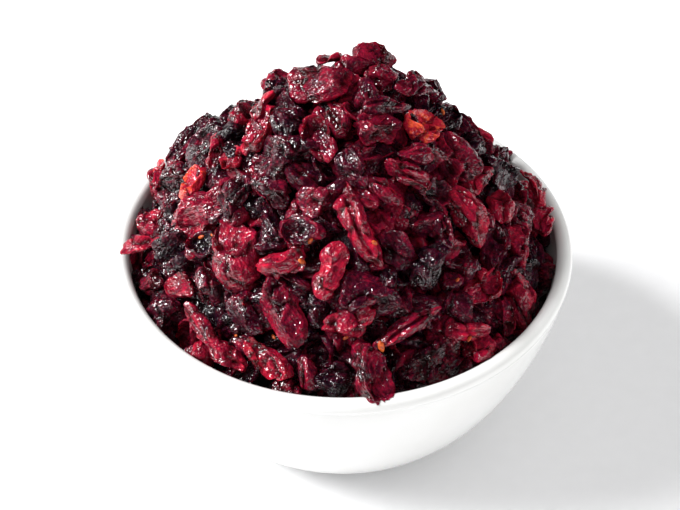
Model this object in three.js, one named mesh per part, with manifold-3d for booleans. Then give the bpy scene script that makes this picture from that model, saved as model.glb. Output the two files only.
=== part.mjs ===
// A white glazed bowl heaped high with dried cranberries.
// Millimetres, +Z up. The origin is the middle of the foot, on the table top.

import * as THREE from 'three';
import { mergeVertices } from 'three/addons/utils/BufferGeometryUtils.js';
import Module from 'manifold-3d';

// The bowl
const BOWL_HEIGHT = 46.3;
const BOWL_RADIUS = 50; // over the lip
const LIP_RADIUS = 1.75; // half the thickness of the rounded edge
const LIP_OVERHANG = 0.5; // how far the lip stands out over the belly
const WALL = 3.2; // just under the lip
const FLOOR = 4.5; // top of the base inside
const FOOT_RADIUS = 22;
const FOOT_HEIGHT = 1;
const FOOT_BEVEL = 0.4;
const BELLY_START = 21; // radius at which the belly starts to rise
const BELLY_SWELL = 2.05; // powers of the rounded outline,
const BELLY_RISE = 1.23; // outwards and upwards
const BELLY_STEPS = 9;
const LIP_STEPS = 8;
const BOWL_SIDES = 54;

// The mound of cranberries: height = foot + rise * (1 - (out / radius) ^ power)
const MOUND_FOOT = 44;
const MOUND_RISE = 47;
const MOUND_RADIUS = 46.5;
const MOUND_POWER = 1.65;
const SWELLS = [
  // Where the mound stands out or falls back: bearing, out, rise, spread
  [153, 40, 4.5, 12],
  [70, 14, 3, 6],
  [24, 44, 3, 10],
  [38, 25, 2, 7],
  [140, 25, -1, 6],
];

// The core that carries the berries which show
const GAP = 0.3; // between the berries and the bowl
const CORE_DEPTH = 4.6; // under the mound's outline
const ROOT = 2; // how deep the underside of a berry reaches into the core
const CORE_EDGE = 5; // below the rim, where the core meets the wall
const CORE_RINGS = 6;
const CORE_SIDES = 24;

// The large berries that give the heap its look.
// Bearing is counted in degrees from +X round to +Y, and out in millimetres from the axis.
// Turn is the angle of the berry's length from level, rising anticlockwise as seen from outside.
// Lift stands a berry out of the mound, and tip raises its lower end.
const LARGE_BERRIES = [
  // bearing, out, long, wide, turn, form, lift, tip
  [154, 6, 14, 10, -83, 'half', 1],
  [62, 13, 9, 5, 52, 'fold', 1.5],
  [75, 8, 8, 4.5, 40, 'fold', -0.8],
  [38, 10, 7, 6, 80, 'whole', 0.5],
  [108, 9, 6, 4.5, 30, 'chip', 0.5],
  [27, 17, 12, 6, -62, 'chip', 0.3],
  [39, 25, 6, 5, 40, 'whole', 1],
  [131, 22, 6, 6, -33, 'whole', 1.3],
  [174, 17, 7, 4, -58, 'chip'],
  [171, 24, 6.5, 4, 80, 'fold', -0.8],
  [163, 23, 6, 5, 40, 'whole', 0.3],
  [192, 18, 11, 6.5, -60, 'cup', 1],
  [204, 13, 9, 5, -5, 'fold'],
  [244, 12, 10, 6, -40, 'cup'],
  [263, 9, 7, 4.5, -60, 'whole'],
  [224, 16, 13, 9, 30, 'whole', 0.5],
  [152, 38, 14, 8, -42, 'half', 1],
  [157, 44, 8.5, 8, -38, 'whole', 0.5],
  [155, 45, 4.5, 3.5, 60, 'chip', 2],
  [182, 32, 7.5, 5.5, -64, 'cup'],
  [179, 27, 8.5, 3.5, -15, 'fold'],
  [192, 24, 7, 5.5, 45, 'cup'],
  [211, 26, 9.5, 5, -83, 'fold'],
  [227, 22, 9, 6, 18, 'whole'],
  [256, 21, 8, 5.5, 10, 'whole'],
  [195, 32, 10, 8.5, 50, 'half'],
  [176, 42, 7.5, 6, 50, 'whole'],
  [188, 44.5, 8, 4, 80, 'chip', 2, 45],
  [197, 38, 9, 5, 70, 'fold'],
  [210, 34, 7.5, 5, 35, 'cup'],
  [225, 31, 15, 10, -46, 'whole', 1],
  [198, 43, 6.5, 5, 42, 'whole'],
  [210, 40, 9, 5.5, 30, 'cup'],
  [211, 43, 10, 7, 50, 'whole'],
  [227, 42, 13, 3.5, -20, 'fold'],
  [236, 43, 9, 5, -14, 'whole'],
  [239, 37, 9, 8, -38, 'half'],
  [250, 36, 13.5, 7, -55, 'half', 0.5],
  [249, 42, 12, 5, -23, 'cup'],
  [250, 26, 9, 5.5, 8, 'cup'],
  [247, 30, 9.5, 6, 34, 'curl', 0.5],
  [265, 30, 11, 6, 73, 'curl', 0.5],
  [267, 42, 8.5, 7, -8, 'whole'],
  [260, 43, 9, 3.5, -75, 'fold'],
  [271, 36, 10.5, 6, 30, 'whole'],
  [336, 9, 10, 3.5, -43, 'fold'],
  [309, 11, 9.5, 6.5, -20, 'half'],
  [353, 17, 11, 7, -40, 'cup', 0.5],
  [28, 29.5, 13, 5.5, 40, 'half', -1],
  [8, 27, 8.5, 5.5, -58, 'whole'],
  [327, 19, 11.5, 4, -40, 'fold', 0.5],
  [312, 20, 10.5, 4, -50, 'fold'],
  [323, 24, 9, 6, -50, 'cup'],
  [294, 21, 8, 3.5, -50, 'fold'],
  [276, 16, 8, 5, -65, 'whole'],
  [9, 34, 11, 7.5, -62, 'half', 0.7],
  [25, 38, 5.5, 4.5, -50, 'whole'],
  [15, 43.5, 8, 5, 40, 'chip', 1],
  [5, 44, 8, 5, -20, 'fold', 1.5],
  [352, 34, 7, 5, 50, 'whole'],
  [277, 25, 15, 5.5, -67, 'fold', 1],
  [294, 28, 8.5, 6.5, -54, 'whole'],
  [331, 30, 13.5, 5.5, 88, 'fold', 0.5],
  [347, 38, 9, 6.5, 58, 'whole'],
  [304, 32, 10, 7.5, 30, 'whole', 1],
  [321, 38, 10, 6.5, -20, 'cup', 0.5],
  [309, 38, 8, 5.5, -50, 'whole'],
  [333, 42, 12, 6, 67, 'whole'],
  [308, 41, 10.5, 3.5, -25, 'fold'],
  [310, 43, 8, 6, -27, 'whole'],
  [295, 42, 9, 6.5, 54, 'whole'],
  [290, 38, 12, 3.5, 16, 'fold'],
  [278, 33, 11, 9.5, -6, 'half', 0.5],
  [278, 43.5, 13.5, 7, -75, 'whole', 2.5, 25],
];

// The berries that fill the places between, largest first
const FILL_LENGTHS = [12, 10.5, 9, 7.5];
const FILL_SLIMMEST = 0.55; // width over length
const FILL_STOUTEST = 0.85;
const FILL_TRIES = 600;
const FILL_SPACING = 1.0; // of the two half sizes
const FILL_REACH = 46.5; // farthest from the axis
const FILL_SINK = 1.2; // deepest under the mound's outline
const FILL_TIP = 14; // steepest tip, degrees
const FILL_SEED = 12;

// A berry's thickness over its width, for each form it dries into
const THICKNESS = { whole: 0.8, half: 0.62, cup: 0.6, fold: 0.75, chip: 0.4, curl: 0.7 };
const BERRY_SIDES = 6;
const BERRY_RINGS = 4;
const BLUNTNESS = 0.17; // fuller ends than an ellipsoid has
const BERRY_UNEVEN = 0.16; // how far a corner may leave the smooth form
const SHAPE_SEED = 7;

const wasm = await Module();
wasm.setup();

const radians = THREE.MathUtils.degToRad;

// Random numbers from 0 to 1, the same on every run
function seededRandom(seed) {
  let state = seed;
  return () => {
    state = (state * 48271) % 2147483647;
    return state / 2147483647;
  };
}

// Half of the bowl's rounded outline, from the middle of its floor up to the lip
function belly(start, end, bottom, top) {
  const points = [];
  for (let step = 1; step <= BELLY_STEPS; step += 1) {
    const angle = (step / BELLY_STEPS) * (Math.PI / 2);
    const outwards = Math.sin(angle) ** (2 / BELLY_SWELL);
    const upwards = Math.cos(angle) ** (2 / BELLY_RISE);
    points.push(new THREE.Vector2(start + (end - start) * outwards, top - (top - bottom) * upwards));
  }
  return points;
}

function bellyInside() {
  const end = BOWL_RADIUS - LIP_OVERHANG - WALL;
  return belly(BELLY_START - WALL, end, FLOOR, BOWL_HEIGHT - 2 * LIP_RADIUS);
}

// The bowl's section: foot, belly, round lip and inside, from axis to axis
function bowlProfile() {
  const lipCentre = new THREE.Vector2(BOWL_RADIUS - LIP_RADIUS, BOWL_HEIGHT - LIP_RADIUS);
  const outside = belly(
    BELLY_START,
    BOWL_RADIUS - LIP_OVERHANG,
    FOOT_HEIGHT,
    BOWL_HEIGHT - 2 * LIP_RADIUS,
  );
  const lip = [];
  for (let step = 0; step <= LIP_STEPS; step += 1) {
    const angle = radians(-45 + (step / LIP_STEPS) * 240);
    const arm = new THREE.Vector2(Math.cos(angle), Math.sin(angle)).multiplyScalar(LIP_RADIUS);
    lip.push(lipCentre.clone().add(arm));
  }
  return [
    new THREE.Vector2(0, 0),
    new THREE.Vector2(FOOT_RADIUS - FOOT_BEVEL, 0),
    new THREE.Vector2(FOOT_RADIUS, FOOT_BEVEL),
    ...outside,
    ...lip,
    ...bellyInside().reverse(),
    new THREE.Vector2(BELLY_START - WALL, FLOOR),
    new THREE.Vector2(0, FLOOR),
  ];
}

// The same section with its skin moved outwards by a distance
function grown(profile, distance) {
  return profile.map((point, index) => {
    const before = profile[Math.max(index - 1, 0)];
    const after = profile[Math.min(index + 1, profile.length - 1)];
    const along = after.clone().sub(before).normalize();
    const moved = new THREE.Vector2(point.x + along.y * distance, point.y - along.x * distance);
    if (point.x === 0) {
      moved.x = 0;
    }
    return moved;
  });
}

function moundHeight(x, y) {
  const out = Math.hypot(x, y);
  let height = MOUND_FOOT + MOUND_RISE * (1 - (out / MOUND_RADIUS) ** MOUND_POWER);
  for (const [bearing, away, rise, spread] of SWELLS) {
    const dx = x - away * Math.cos(radians(bearing));
    const dy = y - away * Math.sin(radians(bearing));
    height += rise * Math.exp(-(dx * dx + dy * dy) / (2 * spread * spread));
  }
  return height;
}

function moundNormal(x, y) {
  const step = 0.05;
  const alongX = (moundHeight(x + step, y) - moundHeight(x - step, y)) / (2 * step);
  const alongY = (moundHeight(x, y + step) - moundHeight(x, y - step)) / (2 * step);
  return new THREE.Vector3(-alongX, -alongY, 1).normalize();
}

// Where a berry lies: its middle, and its length, width and thickness directions
function berryPlace({ bearing, out, wide, turn, form, lift, tip }) {
  const x = out * Math.cos(radians(bearing));
  const y = out * Math.sin(radians(bearing));
  const normal = moundNormal(x, y);
  const level = new THREE.Vector3(-Math.sin(radians(bearing)), Math.cos(radians(bearing)), 0);
  level.addScaledVector(normal, -level.dot(normal)).normalize();
  const uphill = new THREE.Vector3().crossVectors(normal, level);
  const length = level.clone().multiplyScalar(Math.cos(radians(turn)));
  length.addScaledVector(uphill, Math.sin(radians(turn)));
  const width = new THREE.Vector3().crossVectors(normal, length);
  const thickness = normal.clone();
  const tipAxis = width.clone();
  const tipAngle = radians(tip) * Math.sign(length.z || 1);
  length.applyAxisAngle(tipAxis, tipAngle);
  thickness.applyAxisAngle(tipAxis, tipAngle);
  const depth = 0.5 * wide * THICKNESS[form] - lift;
  const middle = new THREE.Vector3(x, y, moundHeight(x, y) - depth / normal.z);
  return { middle, length, width, thickness };
}

function placedBerry(berry) {
  return { ...berry, ...berryPlace(berry), reach: 0.5 * Math.sqrt(berry.long * berry.wide) };
}

// The large berries in their places, then smaller ones wherever there is room
function placeBerries() {
  const placed = LARGE_BERRIES.map(([bearing, out, long, wide, turn, form, lift = 0, tip = 0]) =>
    placedBerry({ bearing, out, long, wide, turn, form, lift, tip }),
  );
  const random = seededRandom(FILL_SEED);
  const forms = ['whole', 'fold', 'cup', 'half', 'whole', 'curl', 'fold'];
  for (const long of FILL_LENGTHS) {
    for (let attempt = 0; attempt < FILL_TRIES; attempt += 1) {
      const out = FILL_REACH * Math.sqrt(random());
      const bearing = 360 * random();
      const wide = long * (FILL_SLIMMEST + (FILL_STOUTEST - FILL_SLIMMEST) * random());
      const turn = 180 * random() - 90;
      const lift = -FILL_SINK * random();
      const tip = FILL_TIP * (2 * random() - 1);
      const form = forms[Math.floor(forms.length * random())];
      const berry = placedBerry({ bearing, out, long, wide, turn, form, lift, tip });
      const clear = placed.every(
        (other) =>
          other.middle.distanceTo(berry.middle) > FILL_SPACING * (other.reach + berry.reach),
      );
      if (clear) {
        placed.push(berry);
      }
    }
  }
  return placed;
}

// Moves a point of the unit ball to where the dried form has it
// x runs along the berry, y across it and z outwards from the heap.
function formed(point, form) {
  const { x, z } = point;
  const middle = Math.max(1 - x * x, 0);
  if (middle > 0 && form !== 'fold') {
    point.y *= middle ** -BLUNTNESS;
    point.z *= middle ** -BLUNTNESS;
  }
  if (form === 'cup' && z > 0.3) {
    point.z -= 0.9 * middle;
  }
  if (form === 'fold') {
    point.y *= 0.62 + 0.38 * middle;
    point.z += z > 0.5 ? -0.35 : 0.1;
  }
  if (form === 'curl') {
    point.y += 0.55 * (x * x - 0.35);
  }
  return point;
}

function berryGeometry(berry, random) {
  const geometry = new THREE.SphereGeometry(1, BERRY_SIDES, BERRY_RINGS);
  geometry.deleteAttribute('normal');
  geometry.deleteAttribute('uv');
  const merged = mergeVertices(geometry, 1e-5);
  const corners = merged.attributes.position;
  const above = 0.5 * berry.wide * THICKNESS[berry.form];
  const below = Math.max(above, CORE_DEPTH + ROOT + berry.lift - above);
  const point = new THREE.Vector3();
  for (let index = 0; index < corners.count; index += 1) {
    // The ball's poles become the two ends of the berry
    point.set(corners.getY(index), corners.getX(index), -corners.getZ(index));
    formed(point, berry.form);
    point.multiplyScalar(1 + BERRY_UNEVEN * (random() - 0.5));
    const corner = berry.middle.clone();
    corner.addScaledVector(berry.length, (point.x * berry.long) / 2);
    corner.addScaledVector(berry.width, (point.y * berry.wide) / 2);
    corner.addScaledVector(berry.thickness, point.z * (point.z > 0 ? above : below));
    corners.setXYZ(index, corner.x, corner.y, corner.z);
  }
  return merged;
}

// A lathe turned about +Z, closed along its seam and at its poles
function turned(profile, sides) {
  const geometry = new THREE.LatheGeometry(profile, sides);
  geometry.rotateX(Math.PI / 2);
  return geometry;
}

// The core: it fills the bowl and stands up under the berries that show
function coreGeometry() {
  const floor = [new THREE.Vector2(0, FLOOR), new THREE.Vector2(BELLY_START - WALL, FLOOR)];
  const inside = grown([...floor, ...bellyInside()], -2 * GAP);
  const wall = inside.filter((point) => point.y < BOWL_HEIGHT - CORE_EDGE);
  const edge = wall.at(-1).x;
  const dome = [];
  for (let ring = 1; ring <= CORE_RINGS; ring += 1) {
    dome.push(new THREE.Vector2(edge * (1 - ring / CORE_RINGS), BOWL_HEIGHT));
  }
  const geometry = turned([...wall, ...dome], CORE_SIDES);
  const corners = geometry.attributes.position;
  for (let index = 0; index < corners.count; index += 1) {
    const x = corners.getX(index);
    const y = corners.getY(index);
    if (corners.getZ(index) > BOWL_HEIGHT - CORE_EDGE) {
      const under = moundHeight(x, y) - CORE_DEPTH / moundNormal(x, y).z;
      corners.setZ(index, Math.max(under, BOWL_HEIGHT - CORE_EDGE));
    }
  }
  return geometry;
}

function toSolid(geometry) {
  geometry.deleteAttribute('normal');
  geometry.deleteAttribute('uv');
  const merged = mergeVertices(geometry, 1e-4);
  const triangles = [];
  for (let first = 0; first < merged.index.count; first += 3) {
    const [a, b, c] = [0, 1, 2].map((corner) => merged.index.getX(first + corner));
    if (a !== b && b !== c && c !== a) {
      triangles.push(a, b, c);
    }
  }
  return new wasm.Manifold(
    new wasm.Mesh({
      numProp: 3,
      vertProperties: Float32Array.from(merged.attributes.position.array),
      triVerts: Uint32Array.from(triangles),
    }),
  );
}

function toGeometry(solid) {
  const mesh = solid.getMesh();
  const geometry = new THREE.BufferGeometry();
  geometry.setAttribute('position', new THREE.BufferAttribute(mesh.vertProperties, 3));
  geometry.setIndex(new THREE.BufferAttribute(mesh.triVerts, 1));
  geometry.computeVertexNormals();
  return geometry;
}

// The one large body of a solid, with sealed hollows filled and loose scraps left off
function largestBody(solid) {
  return solid.decompose().reduce((best, body) => (body.volume() > best.volume() ? body : best));
}

function bowlMesh() {
  const material = new THREE.MeshStandardMaterial({ color: '#f3f3f1', roughness: 0.16, metalness: 0 });
  const mesh = new THREE.Mesh(toGeometry(toSolid(turned(bowlProfile(), BOWL_SIDES))), material);
  mesh.name = 'bowl';
  return mesh;
}

function cranberriesMesh() {
  const random = seededRandom(SHAPE_SEED);
  let heap = toSolid(coreGeometry());
  for (const berry of placeBerries()) {
    heap = heap.add(toSolid(berryGeometry(berry, random)));
  }
  const clearance = toSolid(turned(grown(bowlProfile(), GAP), BOWL_SIDES));
  heap = largestBody(largestBody(heap).subtract(clearance));
  const material = new THREE.MeshStandardMaterial({ color: '#6d0f1c', roughness: 0.32, metalness: 0 });
  const mesh = new THREE.Mesh(toGeometry(heap), material);
  mesh.name = 'cranberries';
  return mesh;
}

const bowlOfCranberries = new THREE.Group();
bowlOfCranberries.add(bowlMesh(), cranberriesMesh());

export default bowlOfCranberries;
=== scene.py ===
# A white glazed bowl heaped high with dried cranberries.
# Sizes are in millimetres and become metres where a mesh is made.
# +Z is up, and the photographed side faces -Y.

import math
from dataclasses import dataclass

import bmesh
import bpy
import numpy as np
from mathutils import Matrix, Vector
from mathutils.bvhtree import BVHTree


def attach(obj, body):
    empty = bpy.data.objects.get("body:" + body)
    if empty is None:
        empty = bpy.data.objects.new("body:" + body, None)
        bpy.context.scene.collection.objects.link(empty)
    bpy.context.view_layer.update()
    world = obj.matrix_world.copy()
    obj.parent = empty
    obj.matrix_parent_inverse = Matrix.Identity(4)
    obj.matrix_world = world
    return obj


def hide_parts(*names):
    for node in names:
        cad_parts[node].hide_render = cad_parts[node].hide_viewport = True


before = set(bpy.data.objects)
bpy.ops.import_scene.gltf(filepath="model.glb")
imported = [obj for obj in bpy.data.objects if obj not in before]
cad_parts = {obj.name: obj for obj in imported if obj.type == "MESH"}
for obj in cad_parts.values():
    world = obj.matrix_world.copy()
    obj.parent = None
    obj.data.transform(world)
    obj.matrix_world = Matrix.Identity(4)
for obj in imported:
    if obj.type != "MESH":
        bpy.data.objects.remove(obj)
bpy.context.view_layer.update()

MM = 0.001

# ---------------------------------------------------------------- sizes

# The bowl
BOWL_HEIGHT = 46.3
BOWL_RADIUS = 50
LIP_RADIUS = 1.75
LIP_OVERHANG = 0.5
WALL = 3.2
FLOOR_HEIGHT = 4.5
FOOT_RADIUS = 22
FOOT_HEIGHT = 1
FOOT_BEVEL = 0.4
BELLY_START = 21
BELLY_SWELL = 2.05
BELLY_RISE = 1.23
BELLY_STEPS = 28
LIP_STEPS = 20
BOWL_SIDES = 160
BELLY_TOP = BOWL_HEIGHT - 2 * LIP_RADIUS
LIP_MIDDLE_OUT = BOWL_RADIUS - LIP_RADIUS
LIP_MIDDLE_HEIGHT = BOWL_HEIGHT - LIP_RADIUS
# The lip's roll starts under its outer edge and goes over to its inner side, in degrees
LIP_START = -45
LIP_ROLL = 240

# The mound: height = foot + rise * (1 - (out / radius) ** power)
MOUND_FOOT = 44
MOUND_RISE = 47
MOUND_RADIUS = 46.5
MOUND_POWER = 1.65
SWELLS = (
    # Where the mound stands out or falls back: bearing, out, rise, spread
    (153, 40, 4.5, 12),
    (70, 14, 3, 6),
    (24, 44, 3, 10),
    (38, 25, 2, 7),
    (140, 25, -1, 6),
)

# The large berries, where the photographed heap has them.
# Bearing is in degrees from +X round to +Y, and out is the distance from the axis.
# Turn is the angle of the berry's length from level, lift stands it out of the mound,
# and tip raises its lower end.
LARGE_BERRIES = (
    # bearing, out, long, wide, turn, form, colour, lift, tip
    (154, 6, 14, 10, -83, "half", "ruby", 1),
    (62, 13, 9, 5, 52, "fold", "ruby", 1.5),
    (75, 8, 8, 4.5, 40, "fold", "ruby", -0.8),
    (38, 10, 7, 6, 80, "whole", "ruby", 0.5),
    (108, 9, 6, 4.5, 30, "chip", "ruby", 0.5),
    (27, 17, 12, 6, -62, "chip", "maroon", 0.3),
    (39, 25, 6, 5, 40, "whole", "maroon", 1),
    (131, 22, 6, 6, -33, "whole", "ruby", 1.3),
    (174, 17, 7, 4, -58, "chip", "scarlet"),
    (171, 24, 6.5, 4, 80, "fold", "plum", -0.8),
    (163, 23, 6, 5, 40, "whole", "scarlet", 0.3),
    (192, 18, 11, 6.5, -60, "cup", "scarlet", 1),
    (204, 13, 9, 5, -5, "fold", "plum"),
    (244, 12, 10, 6, -40, "cup", "ruby"),
    (263, 9, 7, 4.5, -60, "whole", "ruby"),
    (224, 16, 13, 9, 30, "whole", "maroon", 0.5),
    (152, 38, 14, 8, -42, "half", "maroon", 1),
    (157, 44, 8.5, 8, -38, "whole", "scarlet", 0.5),
    (155, 45, 4.5, 3.5, 60, "chip", "orange", 0.7),
    (182, 32, 7.5, 5.5, -64, "cup", "orange"),
    (179, 27, 8.5, 3.5, -15, "fold", "scarlet"),
    (192, 24, 7, 5.5, 45, "cup", "scarlet"),
    (211, 26, 9.5, 5, -83, "fold", "maroon"),
    (227, 22, 9, 6, 18, "whole", "maroon"),
    (256, 21, 8, 5.5, 10, "whole", "ruby"),
    (195, 32, 10, 8.5, 50, "half", "rose"),
    (176, 42, 7.5, 6, 50, "whole", "scarlet"),
    (188, 44.5, 8, 4, 80, "chip", "rose", 2, 45),
    (197, 38, 9, 5, 70, "fold", "plum"),
    (210, 34, 7.5, 5, 35, "cup", "plum"),
    (225, 31, 15, 10, -46, "whole", "rose", 1),
    (198, 43, 6.5, 5, 42, "whole", "ruby"),
    (210, 40, 9, 5.5, 30, "cup", "rose"),
    (211, 43, 10, 7, 50, "whole", "maroon"),
    (227, 42, 13, 3.5, -20, "fold", "rose"),
    (236, 43, 9, 5, -14, "whole", "scarlet"),
    (239, 37, 9, 8, -38, "half", "maroon"),
    (250, 36, 13.5, 7, -55, "half", "ruby", 0.5),
    (249, 42, 12, 5, -23, "cup", "scarlet"),
    (250, 26, 9, 5.5, 8, "cup", "maroon"),
    (247, 30, 9.5, 6, 34, "curl", "scarlet", 0.5),
    (265, 30, 11, 6, 73, "curl", "scarlet", 0.5),
    (267, 42, 8.5, 7, -8, "whole", "plum"),
    (260, 43, 9, 3.5, -75, "fold", "ruby"),
    (271, 36, 10.5, 6, 30, "whole", "scarlet"),
    (336, 9, 10, 3.5, -43, "fold", "maroon"),
    (309, 11, 9.5, 6.5, -20, "half", "ruby"),
    (353, 17, 11, 7, -40, "cup", "orange", 0.5),
    (28, 29.5, 13, 5.5, 40, "half", "maroon", -1),
    (8, 27, 8.5, 5.5, -58, "whole", "plum"),
    (327, 19, 11.5, 4, -40, "fold", "ruby", 0.5),
    (312, 20, 10.5, 4, -50, "fold", "rose"),
    (323, 24, 9, 6, -50, "cup", "maroon"),
    (294, 21, 8, 3.5, -50, "fold", "ruby"),
    (276, 16, 8, 5, -65, "whole", "maroon"),
    (9, 34, 11, 7.5, -62, "half", "plum", 0.7),
    (25, 38, 5.5, 4.5, -50, "whole", "maroon"),
    (15, 43.5, 8, 5, 40, "chip", "rose", 1),
    (5, 44, 8, 5, -20, "fold", "rose", 1.5),
    (352, 34, 7, 5, 50, "whole", "scarlet"),
    (277, 25, 15, 5.5, -67, "fold", "scarlet", 1),
    (294, 28, 8.5, 6.5, -54, "whole", "maroon"),
    (331, 30, 13.5, 5.5, 88, "fold", "scarlet", 0.5),
    (347, 38, 9, 6.5, 58, "whole", "rose"),
    (304, 32, 10, 7.5, 30, "whole", "plum", 1),
    (321, 38, 10, 6.5, -20, "cup", "rose", 0.5),
    (309, 38, 8, 5.5, -50, "whole", "maroon"),
    (333, 42, 12, 6, 67, "whole", "rose"),
    (308, 41, 10.5, 3.5, -25, "fold", "scarlet"),
    (310, 43, 8, 6, -27, "whole", "scarlet"),
    (295, 42, 9, 6.5, 54, "whole", "maroon"),
    (290, 38, 12, 3.5, 16, "fold", "ruby"),
    (278, 33, 11, 9.5, -6, "half", "maroon", 0.5),
    (278, 43.5, 13.5, 7, -75, "whole", "ruby", 2.5, 25),
)

# Loose seeds: bearing, out, length, turn
SEEDS = (
    (207, 34.9, 1.7, 40),
    (211, 33.6, 1.4, -20),
    (256, 28.1, 1.8, 60),
    (254, 30.9, 2.2, -50),
    (281, 40.7, 2.8, -75),
    (307, 42.9, 1.6, 20),
    (248, 40.9, 1.5, 0),
    (236, 42.2, 1.4, 70),
    (312, 36.5, 1.4, -30),
    (271, 39.8, 1.6, 30),
    (282, 28.3, 1.8, -60),
    (62, 33, 1.8, 15),
    (128, 28, 1.6, -40),
    (20, 24, 1.5, 75),
)
SEED_SLIMNESS = 0.48

# The berries that fill the places between, largest first
FILL_LENGTHS = (12, 10.5, 9, 7.5)
FILL_SLIMMEST = 0.55
FILL_STOUTEST = 0.85
FILL_TRIES = 600
FILL_SPACING = 1.0
FILL_REACH = 46.5
FILL_SINK = 1.2
FILL_TIP = 14
FILL_SEED = 12
FILL_FORMS = ("whole", "fold", "cup", "half", "whole", "curl", "fold")
# How red they are: the darkest, how much redder they may be, and how rare the reddest are
FILL_REDS = (0.14, 0.5, 1.2)

# Small berries wedged between the others, and the layer below them, both kept dark as painted shade
WEDGED_LENGTHS = (10, 8.5, 7)
WEDGED_SINK = (2.0, 3.8)
WEDGED_SPACING = 0.66
WEDGED_SEED = 31
WEDGED_TRIES = 1200
DEEP_LENGTHS = (11, 9, 7.5)
DEEP_SINK = (4.2, 6.2)
DEEP_SPACING = 0.62
DEEP_SEED = 47
DEEP_TRIES = 2000
TUCKED_FORMS = ("whole", "fold", "half", "cup", "fold")
TUCKED_SLIMMEST = 0.5
TUCKED_SLIMNESS_RANGE = 0.35
TUCKED_TIP = 30
# Random reds, kept darker than the fill berries' as painted shade deep in the heap
TUCKED_REDS_AND_SHADE = (0.1, 0.45, 1.4)

# Berries keep this far from the bowl, and up to the lip's top are held this far in from its edge
CLEAR = 0.12
HELD_BACK = 1.2 * LIP_RADIUS
# Those lifted this much may hang out over the lip, and sag beyond it with this slope
DRAPED_LIFT = 2
DRAPE_SLOPE = 1.6

THICKNESS = {"whole": 0.8, "half": 0.62, "cup": 0.6, "fold": 0.75, "chip": 0.4, "curl": 0.7}

# Berries stand a little fuller than the plain shapes that they fill
FULLNESS = 1.1
BULK = 1.25
# Wrinkles: how deep and how far apart, shallower on berries narrower than the last size
BROAD_WRINKLE = 0.9
NARROW_WRINKLE = 0.35
BROAD_WRINKLE_SIZE = 3.3
NARROW_WRINKLE_SIZE = 1.5
FULL_WRINKLE_WIDTH = 6.5

# How red each named colour is, from nearly black to orange
COLOURS = {"plum": 0.14, "maroon": 0.3, "ruby": 0.45, "rose": 0.55, "scarlet": 0.6, "orange": 0.9}

# Quads along one side of a berry's grid, fine from one length up and middling from another
FINE_LENGTH = 10
MIDDLE_LENGTH = 7.5
FINE_GRID = 21
MIDDLE_GRID = 17
SMALL_GRID = 9
DEEP_GRID = 6
OUTWARD_SHARE = 0.35

# The core: its gap to the bowl's floor and wall, where its top begins, and how deep it lies below the mound
CORE_FLOOR_GAP = 0.5
CORE_WALL_GAP = 0.6
CORE_SHOULDER = BOWL_HEIGHT - 9
CORE_TOP_FROM = BOWL_HEIGHT - 8
CORE_EDGE = 44.5
CORE_SINK = 7.5
CORE_LUMP = 1.6
CORE_LUMP_SIZE = 5
CORE_WALL_STEPS = 11
CORE_RINGS = 30
CORE_SIDES = 110
# Painted shade: the core gets the darkest red and strong crease darkening, standing for the shade deep in the
# heap.
CORE_SHADE_RED = 0.05
CORE_CREASE_SHADE = 0.8


# ---------------------------------------------------------------- small tools


def seeded(seed):
    """Random numbers from 0 to 1, the same on every run."""
    state = seed
    while True:
        state = (state * 48271) % 2147483647
        yield state / 2147483647


def smooth(value, low, high):
    part = np.clip((value - low) / (high - low), 0, 1)
    return part * part * (3 - 2 * part)


def lattice(corner, seed):
    """A random number from -1 to 1 for each corner of an endless lattice."""
    mixed = corner[:, 0] * 73856093 ^ corner[:, 1] * 19349663 ^ corner[:, 2] * 83492791 ^ seed * 2654435761
    mixed = (mixed ^ (mixed >> 13)) & 0x7FFFFFFF
    mixed = (mixed * 1274126177) & 0x7FFFFFFF
    mixed = (mixed ^ (mixed >> 15)) & 0xFFFFFF
    return mixed / 0x7FFFFF - 1


def ripple(points, size, seed):
    """Smooth random relief from -1 to 1, its bumps about as wide as size."""
    where = points / size
    corner = np.floor(where).astype(np.int64)
    part = where - corner
    part = part * part * (3 - 2 * part)
    total = np.zeros(len(points))
    for dx in (0, 1):
        for dy in (0, 1):
            for dz in (0, 1):
                step = np.array((dx, dy, dz))
                weight = np.prod(np.where(step == 1, part, 1 - part), axis=1)
                total += weight * lattice(corner + step, seed)
    return total


def new_object(name, mesh):
    piece = bpy.data.objects.new(name, mesh)
    bpy.context.scene.collection.objects.link(piece)
    return piece


# ---------------------------------------------------------------- materials


def linear(hex_colour):
    """An sRGB hex colour as linear RGBA."""
    parts = [int(hex_colour[start:start + 2], 16) / 255 for start in (1, 3, 5)]
    return [part / 12.92 if part <= 0.04045 else ((part + 0.055) / 1.055) ** 2.4 for part in parts] + [1]


def add_node(tree, kind, settings=None, inputs=None):
    """A node with its settings, and its inputs given as values or as the outputs that feed them."""
    node = tree.nodes.new(kind)
    for key, value in (settings or {}).items():
        setattr(node, key, value)
    for key, value in (inputs or {}).items():
        if isinstance(value, bpy.types.NodeSocket):
            tree.links.new(value, node.inputs[key])
        else:
            node.inputs[key].default_value = value
    return node


def new_material(name):
    material = bpy.data.materials.new(name)
    material.use_nodes = True
    tree = material.node_tree
    tree.nodes.clear()
    shader = add_node(tree, "ShaderNodeBsdfPrincipled")
    output = add_node(tree, "ShaderNodeOutputMaterial", inputs={"Surface": shader.outputs["BSDF"]})
    return material, tree, shader


def ramp(tree, factor, stops):
    """A colour ramp from a list of (position, hex colour)."""
    node = add_node(tree, "ShaderNodeValToRGB", inputs={"Fac": factor})
    elements = node.color_ramp.elements
    while len(elements) < len(stops):
        elements.new(1)
    for element, (position, colour) in zip(elements, stops):
        element.position = position
        element.color = linear(colour)
    return node.outputs["Color"]


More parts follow.
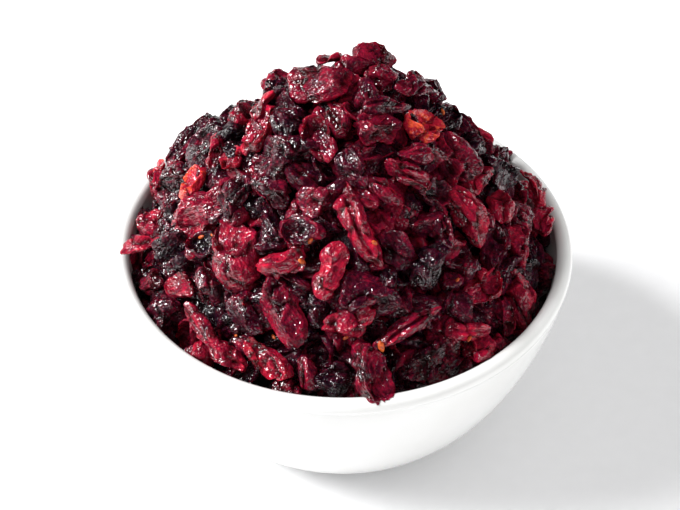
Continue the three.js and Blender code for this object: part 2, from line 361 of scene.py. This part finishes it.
def white_glaze():
    """Glossy white glaze over fired clay: it mirrors the lights softly and ripples very slightly."""
    material, tree, shader = new_material("white_glazed_ceramic")
    place = add_node(tree, "ShaderNodeTexCoord").outputs["Object"]
    # The glaze pools over about 12 mm, and orange-peels over about 2 mm
    pool = add_node(tree, "ShaderNodeTexNoise", inputs={"Vector": place, "Scale": 1 / 0.012, "Detail": 2})
    peel = add_node(tree, "ShaderNodeTexNoise", inputs={"Vector": place, "Scale": 1 / 0.002, "Detail": 1})
    tint = ramp(tree, pool.outputs["Fac"], [(0.3, "#d8d8d6"), (0.7, "#dcdcdb")])
    tree.links.new(tint, shader.inputs["Base Color"])
    gloss = add_node(
        tree, "ShaderNodeMapRange", inputs={"Value": pool.outputs["Fac"], "To Min": 0.12, "To Max": 0.2}
    )
    tree.links.new(gloss.outputs["Result"], shader.inputs["Roughness"])
    bump = add_node(
        tree,
        "ShaderNodeBump",
        inputs={"Height": peel.outputs["Fac"], "Distance": 0.00002, "Strength": 0.3},
    )
    tree.links.new(bump.outputs["Normal"], shader.inputs["Normal"])
    shader.inputs["IOR"].default_value = 1.52
    return material


def dried_cranberry_skin(name, wet):
    """Sugared dried fruit skin: dark red and half glossy, brighter where it is thin as painted light shining
    through, and darker in its creases and wrinkle grooves as painted shade.
    """
    material, tree, shader = new_material(name)
    links = tree.links
    own = add_node(tree, "ShaderNodeAttribute", {"attribute_name": "grain"}).outputs["Vector"]
    red = add_node(tree, "ShaderNodeAttribute", {"attribute_name": "red"}).outputs["Fac"]
    thin = add_node(tree, "ShaderNodeAttribute", {"attribute_name": "thin"}).outputs["Fac"]
    crease_shade = add_node(tree, "ShaderNodeAttribute", {"attribute_name": "crease_shade"}).outputs["Fac"]

    # The grain attribute is in millimetres along the berry, so each scale is one over a real size
    blotch = add_node(tree, "ShaderNodeTexNoise", inputs={"Vector": own, "Scale": 1 / 3.2, "Detail": 3})
    speck = add_node(tree, "ShaderNodeTexNoise", inputs={"Vector": own, "Scale": 1 / 0.7, "Detail": 2})
    drawn = add_node(tree, "ShaderNodeMapping", inputs={"Vector": own, "Scale": (0.6, 1, 1)})
    stray = add_node(tree, "ShaderNodeTexNoise", inputs={"Vector": own, "Scale": 1 / 1.8, "Detail": 2})
    wander = add_node(
        tree,
        "ShaderNodeVectorMath",
        {"operation": "MULTIPLY_ADD"},
        {0: stray.outputs["Color"], 1: (1.6, 1.6, 1.6), 2: drawn.outputs["Vector"]},
    )
    wrinkle = add_node(
        tree,
        "ShaderNodeTexVoronoi",
        {"feature": "DISTANCE_TO_EDGE"},
        {"Vector": wander.outputs["Vector"], "Scale": 1 / 0.95},
    )
    pucker = add_node(
        tree,
        "ShaderNodeTexNoise",
        inputs={"Vector": drawn.outputs["Vector"], "Scale": 1 / 0.4, "Detail": 2, "Roughness": 0.5},
    )

    def sum_of(first, second, weight):
        node = add_node(
            tree,
            "ShaderNodeMath",
            {"operation": "MULTIPLY_ADD"},
            {0: second, 1: weight, 2: first},
        )
        return node.outputs["Value"]

    tone = sum_of(red, blotch.outputs["Fac"], 0.6)
    tone = sum_of(tone, speck.outputs["Fac"], 0.45)
    # Painted shade: the grooves of the wrinkle pattern, which the coat bump sinks, are coloured darker.
    tone = sum_of(tone, wrinkle.outputs["Distance"], 0.45)
    # Painted light: thin edges and wrinkle ridges are coloured brighter, as if lit through the skin.
    tone = sum_of(tone, thin, 0.2)
    tone = add_node(tree, "ShaderNodeMath", {"operation": "SUBTRACT"}, {0: tone, 1: 0.68}).outputs["Value"]
    colour = ramp(
        tree,
        tone,
        [
            (0.0, "#160310"),
            (0.25, "#46061c"),
            (0.5, "#840b29"),
            (0.75, "#b41432"),
            (0.92, "#cc283a"),
            (1.0, "#ea5438"),
        ],
    )
    # Painted shade: the colour is multiplied towards #5c2030 where the crease_shade attribute marks creases.
    shade = add_node(
        tree,
        "ShaderNodeMix",
        {"data_type": "RGBA", "blend_type": "MULTIPLY"},
        {0: crease_shade, 6: colour, 7: linear("#5c2030")},
    )
    links.new(shade.outputs[2], shader.inputs["Base Color"])

    gloss = add_node(
        tree,
        "ShaderNodeMapRange",
        inputs={
            "Value": blotch.outputs["Fac"],
            "From Min": 0.3,
            "From Max": 0.7,
            "To Min": wet,
            "To Max": wet + 0.22,
        },
    )
    links.new(gloss.outputs["Result"], shader.inputs["Roughness"])
    coarse = add_node(
        tree,
        "ShaderNodeBump",
        inputs={"Height": wrinkle.outputs["Distance"], "Distance": 0.0005, "Strength": 1},
    )
    fine = add_node(
        tree,
        "ShaderNodeBump",
        inputs={
            "Height": pucker.outputs["Fac"],
            "Distance": 0.00018,
            "Strength": 1,
            "Normal": coarse.outputs["Normal"],
        },
    )
    links.new(fine.outputs["Normal"], shader.inputs["Normal"])
    links.new(coarse.outputs["Normal"], shader.inputs["Coat Normal"])
    shader.inputs["IOR"].default_value = 1.45
    shader.inputs["Subsurface Weight"].default_value = 0.2
    shader.inputs["Subsurface Radius"].default_value = (1.0, 0.12, 0.08)
    shader.inputs["Subsurface Scale"].default_value = 0.0012
    shader.inputs["Specular IOR Level"].default_value = 0.08
    # Syrup lies on the skin in patches about 2.5 mm wide
    syrup = add_node(tree, "ShaderNodeTexNoise", inputs={"Vector": own, "Scale": 1 / 2.5, "Detail": 1})
    wet_patch = add_node(
        tree,
        "ShaderNodeMapRange",
        inputs={
            "Value": syrup.outputs["Fac"],
            "From Min": 0.4,
            "From Max": 0.53,
            "To Min": 0.1,
            "To Max": 1.0,
        },
    )
    links.new(wet_patch.outputs["Result"], shader.inputs["Coat Weight"])
    shader.inputs["Coat Roughness"].default_value = 0.1
    shader.inputs["Coat IOR"].default_value = 1.75
    return material


def seed_husk():
    """Dry orange-brown seed coats, smooth with a faint streak along them."""
    material, tree, shader = new_material("orange_seed_husk")
    place = add_node(tree, "ShaderNodeTexCoord").outputs["Object"]
    fleck = add_node(tree, "ShaderNodeTexNoise", inputs={"Vector": place, "Scale": 1 / 0.0007, "Detail": 2})
    colour = ramp(tree, fleck.outputs["Fac"], [(0.3, "#8a2a12"), (0.7, "#dd6826")])
    tree.links.new(colour, shader.inputs["Base Color"])
    shader.inputs["Roughness"].default_value = 0.35
    return material


def studio_sheet():
    """Matt white paper sweep."""
    material, tree, shader = new_material("matt_white_paper")
    place = add_node(tree, "ShaderNodeTexCoord").outputs["Object"]
    fibre = add_node(tree, "ShaderNodeTexNoise", inputs={"Vector": place, "Scale": 1 / 0.004, "Detail": 3})
    tint = ramp(tree, fibre.outputs["Fac"], [(0.3, "#ededee"), (0.7, "#efeff0")])
    tree.links.new(tint, shader.inputs["Base Color"])
    shader.inputs["Roughness"].default_value = 0.9
    return material


# ---------------------------------------------------------------- the bowl


def belly(start, end, bottom, top):
    """Half of the bowl's rounded outline, from the middle of its floor up to the lip."""
    points = []
    for step in range(1, BELLY_STEPS + 1):
        angle = step / BELLY_STEPS * math.pi / 2
        outwards = math.sin(angle) ** (2 / BELLY_SWELL)
        upwards = max(math.cos(angle), 0) ** (2 / BELLY_RISE)
        points.append((start + (end - start) * outwards, top - (top - bottom) * upwards))
    return points


def bowl_profile():
    outside = belly(BELLY_START, BOWL_RADIUS - LIP_OVERHANG, FOOT_HEIGHT, BELLY_TOP)
    inside = belly(BELLY_START - WALL, BOWL_RADIUS - LIP_OVERHANG - WALL, FLOOR_HEIGHT, BELLY_TOP)
    lip = []
    for step in range(LIP_STEPS + 1):
        angle = math.radians(LIP_START + LIP_ROLL * step / LIP_STEPS)
        lip.append((
            LIP_MIDDLE_OUT + LIP_RADIUS * math.cos(angle),
            LIP_MIDDLE_HEIGHT + LIP_RADIUS * math.sin(angle),
        ))
    foot = [(0, 0), (FOOT_RADIUS - FOOT_BEVEL, 0), (FOOT_RADIUS, FOOT_BEVEL)]
    return foot + outside + lip + inside[::-1] + [(BELLY_START - WALL, FLOOR_HEIGHT), (0, FLOOR_HEIGHT)]


def bowl_inside(height):
    """The inner radius of the bowl at a height."""
    start = BELLY_START - WALL
    end = BOWL_RADIUS - LIP_OVERHANG - WALL
    below = np.clip((BELLY_TOP - height) / (BELLY_TOP - FLOOR_HEIGHT), 0, 1)
    return start + (end - start) * (1 - below ** BELLY_RISE) ** (1 / BELLY_SWELL)


def spun(name, profile, sides):
    shape = bmesh.new()
    corners = [shape.verts.new((radius * MM, 0, height * MM)) for radius, height in profile]
    edges = [shape.edges.new(pair) for pair in zip(corners, corners[1:])]
    bmesh.ops.spin(
        shape,
        geom=corners + edges,
        cent=(0, 0, 0),
        axis=(0, 0, 1),
        angle=2 * math.pi,
        steps=sides,
        use_merge=True,
    )
    bmesh.ops.remove_doubles(shape, verts=shape.verts, dist=1e-6)
    bmesh.ops.recalc_face_normals(shape, faces=shape.faces)
    for face in shape.faces:
        face.smooth = True
    mesh = bpy.data.meshes.new(name)
    shape.to_mesh(mesh)
    shape.free()
    return new_object(name, mesh)


def make_bowl():
    bowl = spun("glazed_bowl", bowl_profile(), BOWL_SIDES)
    bowl.data.materials.append(white_glaze())
    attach(bowl, "root")
    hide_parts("bowl")


# ---------------------------------------------------------------- where the berries lie


def mound_height(x, y):
    out = np.hypot(x, y)
    height = MOUND_FOOT + MOUND_RISE * (1 - (out / MOUND_RADIUS) ** MOUND_POWER)
    for bearing, away, rise, spread in SWELLS:
        dx = x - away * math.cos(math.radians(bearing))
        dy = y - away * math.sin(math.radians(bearing))
        height = height + rise * np.exp(-(dx * dx + dy * dy) / (2 * spread * spread))
    return height


def mound_normal(x, y):
    step = 0.05
    along_x = (mound_height(x + step, y) - mound_height(x - step, y)) / (2 * step)
    along_y = (mound_height(x, y + step) - mound_height(x, y - step)) / (2 * step)
    return Vector((-along_x, -along_y, 1)).normalized()


@dataclass
class Berry:
    bearing: float
    out: float
    long: float
    wide: float
    turn: float
    form: str
    red: float
    lift: float = 0
    tip: float = 0

    def __post_init__(self):
        """Where the berry lies: its middle, and its length, width and thickness directions."""
        around = math.radians(self.bearing)
        x = self.out * math.cos(around)
        y = self.out * math.sin(around)
        normal = mound_normal(x, y)
        level = Vector((-math.sin(around), math.cos(around), 0))
        level = (level - normal * level.dot(normal)).normalized()
        uphill = normal.cross(level)
        turn = math.radians(self.turn)
        length = level * math.cos(turn) + uphill * math.sin(turn)
        width = normal.cross(length)
        tip = Matrix.Rotation(math.radians(self.tip) * (1 if length.z >= 0 else -1), 3, width)
        self.axes = np.array((tip @ length, width, tip @ normal))
        depth = 0.5 * self.wide * THICKNESS[self.form] - self.lift
        self.middle = Vector((x, y, mound_height(x, y) - depth / normal.z))
        self.reach = 0.5 * math.sqrt(self.long * self.wide)

    def clear_of(self, others, spacing):
        return all((o.middle - self.middle).length > spacing * (o.reach + self.reach) for o in others)


def large_and_fill_berries():
    placed = []
    for bearing, out, long, wide, turn, form, colour, *stance in LARGE_BERRIES:
        placed.append(Berry(bearing, out, long, wide, turn, form, COLOURS[colour], *stance))
    dice = seeded(FILL_SEED)
    reds = seeded(FILL_SEED + 1)
    darkest, redder, rarity = FILL_REDS
    for long in FILL_LENGTHS:
        for _ in range(FILL_TRIES):
            out = FILL_REACH * math.sqrt(next(dice))
            bearing = 360 * next(dice)
            wide = long * (FILL_SLIMMEST + (FILL_STOUTEST - FILL_SLIMMEST) * next(dice))
            turn = 180 * next(dice) - 90
            lift = -FILL_SINK * next(dice)
            tip = FILL_TIP * (2 * next(dice) - 1)
            form = FILL_FORMS[int(len(FILL_FORMS) * next(dice))]
            berry = Berry(bearing, out, long, wide, turn, form, 0, lift, tip)
            if berry.clear_of(placed, FILL_SPACING):
                berry.red = darkest + redder * next(reds) ** rarity
                placed.append(berry)
    return placed


def tucked_berries(placed, lengths, sink, spacing, seed, tries):
    """Berries deeper in the heap, each clear of the others of its layer, with random reds kept darker as
    painted shade.
    """
    dice = seeded(seed)
    darkest, redder, rarity = TUCKED_REDS_AND_SHADE
    tucked = []
    for long in lengths:
        for _ in range(tries):
            out = FILL_REACH * math.sqrt(next(dice))
            bearing = 360 * next(dice)
            wide = long * (TUCKED_SLIMMEST + TUCKED_SLIMNESS_RANGE * next(dice))
            turn = 180 * next(dice) - 90
            lift = -(sink[0] + (sink[1] - sink[0]) * next(dice))
            tip = TUCKED_TIP * (2 * next(dice) - 1)
            form = TUCKED_FORMS[int(len(TUCKED_FORMS) * next(dice))]
            red = darkest + redder * next(dice) ** rarity
            berry = Berry(bearing, out, long, wide, turn, form, red, lift, tip)
            if berry.clear_of(placed + tucked, spacing):
                tucked.append(berry)
    return tucked


# ---------------------------------------------------------------- how a berry dries

# Each form starts from a ball of radius 1, so distances in the forms are parts of that radius.


def ball(grid):
    """A ball of even quads, as its points and faces."""
    shape = bmesh.new()
    bmesh.ops.create_cube(shape, size=2)
    bmesh.ops.subdivide_edges(shape, edges=shape.edges, cuts=grid - 1, use_grid_fill=True)
    points = np.array([vert.co for vert in shape.verts])
    faces = np.array([[vert.index for vert in face.verts] for face in shape.faces])
    shape.free()
    points = np.tan(points * math.pi / 4)
    points /= np.linalg.norm(points, axis=1)[:, None]
    # The outward side gets more of the points than the side that lies in the heap
    points[:, 2] += OUTWARD_SHARE
    points /= np.linalg.norm(points, axis=1)[:, None]
    return points, faces


def warped(points, size, amount, seed):
    """Points pushed about by smooth random noise, so that what is worked out from them wanders."""
    return points + amount * np.stack([ripple(points, size, seed + way) for way in range(3)], axis=1)


def ridges(points, size, seed):
    """Thin winding ridges of skin: 1 on a ridge and 0 in the sunken skin between."""
    return 1 - np.clip(np.abs(ripple(points, size, seed)) / 0.34, 0, 1)


def sunken(point, way, keep, depth):
    """Skin beyond a distance along a direction falls in, and leaves a crisp rim round a shallow dish."""
    way = np.array(way) / np.linalg.norm(way)
    beyond = np.clip(point @ way - keep, 0, None)
    return point - way * (depth * beyond)[:, None]


def random_way(dice, outwards):
    way = dice.normal(size=3)
    way[2] = abs(way[2]) * outwards
    return way


def dried_whole(point, dice):
    for _ in range(3):
        point = sunken(point, random_way(dice, 1), dice.uniform(0.5, 0.8), dice.uniform(1.2, 1.7))
    return point, 0.3 * np.abs(point[:, 0]) ** 3


def dried_half(point, dice):
    """A dome that has fallen in either side of a crest, and is open and flat below."""
    side = dice.uniform(-0.25, 0.25)
    point = sunken(point, (0.3 * dice.uniform(-1, 1), 0.8, 0.7 + side), 0.55, 1.15)
    point = sunken(point, (0.3 * dice.uniform(-1, 1), -0.8, 0.7 - side), 0.6, 1.35)
    point = sunken(point, (0, 0, -1), 0.45, 1)
    edge = smooth(-point[:, 2], 0.1, 0.4)
    return point * (1 + 0.1 * edge)[:, None], edge


def dried_cup(point, dice):
    """An opened half, hollow side outwards, with a rolled and uneven rim."""
    hollow = (0.35 * dice.uniform(-1, 1), 0.4 * dice.uniform(-1, 1), 1)
    before = point[:, 2]
    point = sunken(point, hollow, dice.uniform(0.1, 0.35), dice.uniform(1.7, 2.1))
    around = np.arctan2(point[:, 1], point[:, 0])
    out = np.hypot(point[:, 0], point[:, 1])
    rim = smooth(out, 0.65, 0.95) * smooth(before, -0.3, 0.25)
    flap = np.sin(2 * around + dice.uniform(0, 6)) + 0.5 * np.sin(3 * around + dice.uniform(0, 6))
    inwards = -0.12 * rim * (1 + flap)
    point = point + np.stack((inwards * np.cos(around), inwards * np.sin(around), 0.14 * rim * flap), axis=1)
    return point, rim


def dried_fold(point, dice):
    """Folded over lengthwise: two lips of uneven height with a winding cleft between."""
    x, y, z = point.T
    cleft = 0.25 * dice.uniform(-1, 1) + 0.16 * np.sin(2.3 * x + dice.uniform(0, 6))
    wide = 0.14 + 0.12 * np.sin(3 * x + dice.uniform(0, 6)) ** 2
    into = np.exp(-(((y - cleft) / wide) ** 2)) * (z > -0.2) * smooth(1 - np.abs(x), 0.02, 0.4)
    high = 0.2 * dice.choice((-1, 1)) * np.sign(y - cleft) * smooth(np.abs(y - cleft), 0, 0.5)
    height = z * (1 + high * (z > 0)) - dice.uniform(0.25, 0.7) * into
    beside = np.abs(y - cleft)
    lip = smooth(beside, 0.1, 0.25) * (1 - smooth(beside, 0.25, 0.55)) * smooth(z, 0.1, 0.6)
    point = np.stack((x, y, height), axis=1)
    point = sunken(point, random_way(dice, 0.6), 0.65, 1.4)
    return point, 0.6 * lip


def dried_chip(point, dice):
    """A torn flake, twisted and wavy."""
    x, y, z = point.T
    around = np.arctan2(y, x)
    edge = smooth(np.hypot(x, y), 0.6, 1.0)
    wave = 0.45 * np.sin(2.2 * x + dice.uniform(0, 6)) + 0.45 * y * y
    tear = 1 + 0.14 * np.sin(3 * around + dice.uniform(0, 6)) + 0.06 * np.sin(5 * around + dice.uniform(0, 6))
    return np.stack((x * tear, y * tear, z * 0.8 + wave), axis=1), 0.35 + 0.5 * edge


def dried_curl(point, dice):
    """Curled into a C round a hollow, thick at the back and thin at its two ends."""
    x, y, z = point.T
    side = dice.choice((-1, 1))
    bite = np.exp(-((x / 0.42) ** 2) - ((y * side - 0.75) / 0.6) ** 2)
    point = np.stack((x, y - side * 0.75 * bite, z - 0.3 * bite), axis=1)
    point = sunken(point, (0.4 * dice.uniform(-1, 1), -0.5 * side, 0.9), 0.65, 1.4)
    return point, smooth(bite, 0.25, 0.6) * 0.8 + 0.4 * np.abs(x) ** 3


FORMS = {
    "whole": dried_whole,
    "half": dried_half,
    "cup": dried_cup,
    "fold": dried_fold,
    "chip": dried_chip,
    "curl": dried_curl,
}


def dried_berry(ball_points, berry, seed):
    """The berry's points in the heap, with how deep in a crease each lies, for painted shade, and how thin it
    is, for painted light shining through.
    """
    dice = np.random.default_rng(seed)
    size = np.array((berry.long, berry.wide, berry.wide * THICKNESS[berry.form] * BULK)) * FULLNESS / 2
    point, thin = FORMS[berry.form](warped(ball_points, 0.9, 0.24, seed * 5), dice)
    twist = dice.uniform(-0.45, 0.45) * point[:, 0]
    x, y, z = point.T
    y, z = y * np.cos(twist) - z * np.sin(twist), y * np.sin(twist) + z * np.cos(twist)
    z = z - dice.uniform(-0.1, 0.2) * x * x
    point = np.stack((x, y, z), axis=1) * size
    # Wrinkles are worked out in millimetres, a little drawn out along the berry
    drawn = warped(point * (0.8, 1, 1), 2.4, 1.0, seed * 5 + 11) + 50 * (seed % 97)
    clefts = ridges(drawn, BROAD_WRINKLE_SIZE, seed) ** 1.5
    pleats = ridges(drawn, NARROW_WRINKLE_SIZE, seed + 1)
    outwards = ball_points / size
    outwards /= np.linalg.norm(outwards, axis=1)[:, None]
    gauge = min(1, berry.wide / FULL_WRINKLE_WIDTH)
    relief = gauge * (NARROW_WRINKLE * (pleats - 0.4) - BROAD_WRINKLE * (clefts - 0.2))
    point = point + outwards * relief[:, None]
    # Painted shade: clefts and the sunken skin between ridges are marked to be coloured darker.
    crease_shade = np.clip(0.8 * clefts + 0.5 * (1 - pleats) - 0.2, 0, 1)
    # Painted light: wrinkle ridges count as thin, so they are coloured brighter as if lit through the skin.
    thin = np.clip(thin + 0.35 * pleats ** 2, 0, 1)
    grain = point + dice.uniform(0, 400, size=3)
    return point @ berry.axes + np.array(berry.middle), crease_shade, thin, grain


def kept_in_bowl(points, draped):
    """Presses what would cross the bowl back against its wall, or lays it on top of the lip."""
    out = np.hypot(points[:, 0], points[:, 1])
    height = points[:, 2]
    round_lip = LIP_RADIUS + CLEAR
    lip_out = out - LIP_MIDDLE_OUT
    on_lip = LIP_MIDDLE_HEIGHT + np.sqrt(np.clip(round_lip ** 2 - lip_out ** 2, 0, None))
    if draped:
        # Past the lip it sags, steeper than the lip is round
        on_lip -= DRAPE_SLOPE * np.clip(lip_out - round_lip, 0, None)
        lifted = np.where(lip_out > -round_lip, np.maximum(height, on_lip), height)
        return np.concatenate((points[:, :2], lifted[:, None]), axis=1)
    held = np.where(height < BOWL_HEIGHT + CLEAR, np.minimum(out, BOWL_RADIUS - HELD_BACK), out)
    room = bowl_inside(height) - CLEAR
    held = np.where((height < BELLY_TOP) & (held > room), room, held)
    lip_out = held - LIP_MIDDLE_OUT
    lip_up = height - LIP_MIDDLE_HEIGHT
    push = np.maximum(round_lip / np.maximum(np.hypot(lip_out, lip_up), 1e-6), 1)
    scale = ((LIP_MIDDLE_OUT + lip_out * push) / np.maximum(out, 1e-6))[:, None]
    new_height = LIP_MIDDLE_HEIGHT + lip_up * push
    return np.concatenate((points[:, :2] * scale, new_height[:, None]), axis=1)


def add_skin_layers(mesh, red, thin, crease_shade, grain):
    """What the skin's material needs to know at every point of a mesh."""
    for key, values in (("red", red), ("thin", thin), ("crease_shade", crease_shade)):
        layer = mesh.attributes.new(key, "FLOAT", "POINT")
        layer.data.foreach_set("value", np.array(values, dtype=np.float32))
    layer = mesh.attributes.new("grain", "FLOAT_VECTOR", "POINT")
    layer.data.foreach_set("vector", np.array(grain, dtype=np.float32).ravel())


def joined_berries(name, berries, grid_of, seed):
    """Many berries as one mesh."""
    balls = {}
    points, faces, reds, thins, crease_shades, grains = [], [], [], [], [], []
    start = 0
    for index, berry in enumerate(berries):
        grid = grid_of(berry)
        if grid not in balls:
            balls[grid] = ball(grid)
        ball_points, ball_faces = balls[grid]
        point, crease_shade, thin, grain = dried_berry(ball_points, berry, seed + index)
        points.append(kept_in_bowl(point, berry.lift >= DRAPED_LIFT))
        faces.append(ball_faces + start)
        start += len(point)
        reds.append(np.full(len(point), berry.red))
        thins.append(thin)
        crease_shades.append(crease_shade)
        grains.append(grain)
    mesh = bpy.data.meshes.new(name)
    mesh.from_pydata(np.concatenate(points) * MM, [], np.concatenate(faces))
    mesh.polygons.foreach_set("use_smooth", np.ones(len(mesh.polygons), dtype=bool))
    add_skin_layers(mesh, *(np.concatenate(values) for values in (reds, thins, crease_shades, grains)))
    mesh.update()
    return new_object(name, mesh)


# ---------------------------------------------------------------- the heap


def outer_grid(berry):
    if berry.long >= FINE_LENGTH:
        return FINE_GRID
    return MIDDLE_GRID if berry.long >= MIDDLE_LENGTH else SMALL_GRID


def make_core():
    """The inside of the heap, seen only as the bottom of the gaps, coloured nearly black and darkened all
    over as painted shade.
    """
    low = FLOOR_HEIGHT + CORE_FLOOR_GAP
    profile = [(0, low)]
    for step in range(1, CORE_WALL_STEPS + 1):
        height = low + (CORE_SHOULDER - FLOOR_HEIGHT) * step / CORE_WALL_STEPS
        profile.append((float(bowl_inside(np.array(height))) - CORE_WALL_GAP, height))
    for ring in range(1, CORE_RINGS + 1):
        profile.append((CORE_EDGE * (1 - ring / CORE_RINGS), 60))
    core = spun("heap_core", profile, CORE_SIDES)
    points = np.array([vert.co for vert in core.data.vertices]) / MM
    lumps = CORE_LUMP * ripple(points * (1, 1, 0), CORE_LUMP_SIZE, 3)
    for vert, point, lump in zip(core.data.vertices, points, lumps):
        if point[2] > CORE_TOP_FROM:
            depth = CORE_SINK / mound_normal(point[0], point[1]).z
            under_mound = float(mound_height(point[0], point[1])) - depth + lump
            vert.co.z = max(under_mound, CORE_SHOULDER + 0.5 * lump) * MM
    core.data.update()
    nothing = np.zeros(len(points))
    add_skin_layers(core.data, nothing + CORE_SHADE_RED, nothing, nothing + CORE_CREASE_SHADE, points)
    return core


def make_heap():
    outer = large_and_fill_berries()
    wedged = tucked_berries(
        outer, WEDGED_LENGTHS, WEDGED_SINK, WEDGED_SPACING, WEDGED_SEED, WEDGED_TRIES
    )
    deep = tucked_berries([], DEEP_LENGTHS, DEEP_SINK, DEEP_SPACING, DEEP_SEED, DEEP_TRIES)
    skin = dried_cranberry_skin("sugared_cranberry_skin", 0.3)
    shapes = {
        "whole": "whole_cranberries",
        "half": "half_cranberries",
        "cup": "opened_cranberries",
        "fold": "folded_cranberries",
        "chip": "torn_cranberries",
        "curl": "curled_cranberries",
    }
    pieces = []
    for number, (form, name) in enumerate(shapes.items()):
        berries = [berry for berry in outer if berry.form == form]
        pieces.append(joined_berries(name, berries, outer_grid, 1000 * (number + 1)))
        berries = [berry for berry in wedged if berry.form == form]
        if berries:
            small = joined_berries("small_" + name, berries, lambda berry: SMALL_GRID, 9000 + 100 * number)
            pieces.append(small)
    pieces.append(joined_berries("deep_cranberries", deep, lambda berry: DEEP_GRID, 12000))
    pieces.append(make_core())
    for piece in pieces:
        piece.data.materials.append(skin)
    pieces.append(make_seeds(pieces))
    for piece in pieces:
        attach(piece, "root")
        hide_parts("cranberries")


def make_seeds(pieces):
    """Loose seeds lying on the skin, each turned to the berry that it has stuck to."""
    corners, faces = [], []
    for piece in pieces:
        start = len(corners)
        corners += [vert.co / MM for vert in piece.data.vertices]
        faces += [[start + index for index in face.vertices] for face in piece.data.polygons]
    heap = BVHTree.FromPolygons(corners, faces)
    shape = bmesh.new()
    for bearing, out, long, turn in SEEDS:
        x = out * math.cos(math.radians(bearing))
        y = out * math.sin(math.radians(bearing))
        normal = mound_normal(x, y)
        above = Vector((x, y, mound_height(x, y))) + 12 * normal
        place, facing, _, _ = heap.ray_cast(above, -normal)
        level = Vector((0, 0, 1)).cross(facing).normalized()
        length = Matrix.Rotation(math.radians(turn), 3, facing) @ level
        wide = long * SEED_SLIMNESS
        axes = Matrix((length * long / 2, facing.cross(length) * wide / 2, facing * wide / 2)).transposed()
        stand = Matrix.Translation((place + facing * 0.15 * wide) * MM) @ axes.to_4x4() @ Matrix.Scale(MM, 4)
        made = bmesh.ops.create_uvsphere(shape, u_segments=16, v_segments=10, radius=1)
        for vert in made["verts"]:
            # One end is pointed, as an apple pip is
            pinch = 1 - 0.35 * max(vert.co.x, 0) ** 2
            vert.co = stand @ Vector((vert.co.x, vert.co.y * pinch, vert.co.z * pinch))
    for face in shape.faces:
        face.smooth = True
    mesh = bpy.data.meshes.new("loose_seeds")
    shape.to_mesh(mesh)
    shape.free()
    seeds = new_object("loose_seeds", mesh)
    seeds.data.materials.append(seed_husk())
    return seeds


# ---------------------------------------------------------------- the studio


def make_camera():
    """The photograph's view: 42.5 degrees down on the bowl from 450 mm, through a long lens."""
    distance = 450
    down = math.radians(42.5)
    target = Vector((-0.6, 1.7, 40))
    focal_pixels = 2041
    photo_width = 680
    data = bpy.data.cameras.new("photo_camera")
    data.sensor_width = 36
    data.lens = data.sensor_width * focal_pixels / photo_width
    data.clip_start = 0.01
    camera = new_object("photo_camera", data)
    back = Vector((0, -math.cos(down), math.sin(down)))
    camera.location = (target + back * distance) * MM
    camera.rotation_euler = back.to_track_quat("Z", "Y").to_euler()
    bpy.context.scene.camera = camera


def add_softbox(name, place, aim, size, power):
    data = bpy.data.lights.new(name, "AREA")
    data.shape = "SQUARE"
    data.size = size
    data.energy = power
    light = new_object(name, data)
    light.location = place
    light.rotation_euler = (Vector(place) - Vector(aim)).to_track_quat("Z", "Y").to_euler()
    return light


def make_studio():
    sheet = bmesh.new()
    bmesh.ops.create_grid(sheet, x_segments=2, y_segments=2, size=3)
    mesh = bpy.data.meshes.new("paper_sheet")
    sheet.to_mesh(mesh)
    sheet.free()
    floor = new_object("paper_sheet", mesh)
    floor.data.materials.append(studio_sheet())
    heap_middle = (0, 0, 0.05)
    add_softbox("window_softbox", (-0.95, -0.08, 0.78), heap_middle, 0.5, 20)
    add_softbox("small_lamp", (-0.72, 0.1, 0.85), heap_middle, 0.16, 6)
    # The card fills the shadows and is too dull to glint on wet skin
    card = add_softbox("reflector_card", (0.95, -0.25, 0.25), heap_middle, 0.6, 5)
    card.visible_glossy = False
    world = bpy.data.worlds.new("white_studio")
    world.use_nodes = True
    background = world.node_tree.nodes["Background"]
    background.inputs["Color"].default_value = (1, 1, 1, 1)
    background.inputs["Strength"].default_value = 0.66
    # The room is white round about but dark where glossy skin would mirror it
    world.cycles_visibility.glossy = False
    bpy.context.scene.world = world
    bpy.context.scene.view_settings.view_transform = "Standard"


make_camera()
make_studio()
make_bowl()
make_heap()
